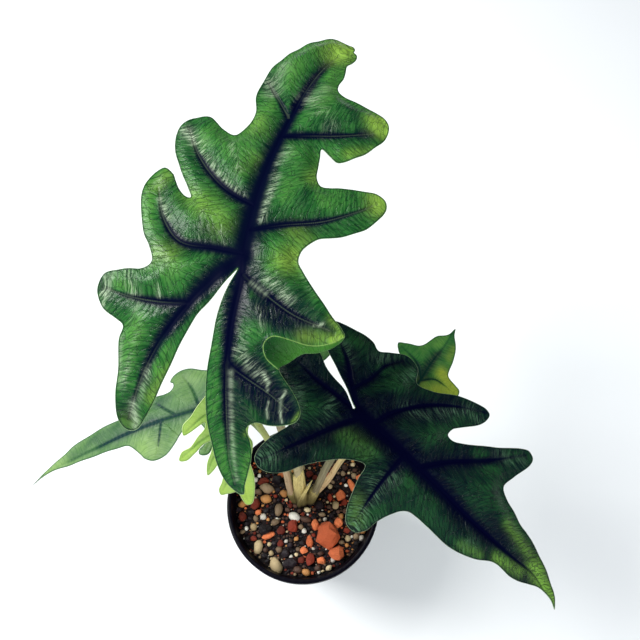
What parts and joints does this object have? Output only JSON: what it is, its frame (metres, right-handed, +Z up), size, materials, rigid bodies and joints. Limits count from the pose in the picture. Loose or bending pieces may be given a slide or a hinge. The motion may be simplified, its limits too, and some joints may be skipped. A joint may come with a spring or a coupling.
{
  "type": "potted lobed-leaf alocasia",
  "caption": "Young lobed-leaf alocasia in a tapered black nursery pot with gritty soil; cut, ribbed blades on slender stalks rise from one corm.",
  "frame": {"origin": "centre of the pot's underside, on the surface that the pot stands on", "axes": "+Z up out of the pot, -Y towards the pot's front, +X to its right as seen from the front"},
  "size_m": [0.2781, 0.2713, 0.2385],
  "materials": {
    "pot_plastic": "satin black moulded plastic",
    "soil_mix": "loose dark grit with red lava, pumice and tan pebbles",
    "corm_skin": "pale dry sheath, streaked olive and brown",
    "leaf_green": "glossy mid-green leaf, near-black soft-edged ribs, fine cross wrinkles",
    "leaf_dark": "glossy deep green leaf, near-black ribs, pale thin margin",
    "leaf_pale": "matt grey-green leaf with thin dark ribs",
    "leaf_small": "satin yellow-green leaf with soft blue-green ribs",
    "leaf_young": "satin lime-green young leaf with a lighter margin",
    "stalk_skin": "satin pale tan to olive stalk with fine streaks"
  },
  "bodies": {
    "root": {"pot": "pot_plastic", "soil": "soil_mix", "corm": "corm_skin", "blade_tall": "leaf_green", "petiole_tall": "stalk_skin", "blade_dark": "leaf_dark", "petiole_dark": "stalk_skin", "blade_pale": "leaf_pale", "petiole_pale": "stalk_skin", "blade_small": "leaf_small", "petiole_small": "stalk_skin", "blade_young": "leaf_young", "petiole_young": "stalk_skin"}
  },
  "joints": []
}
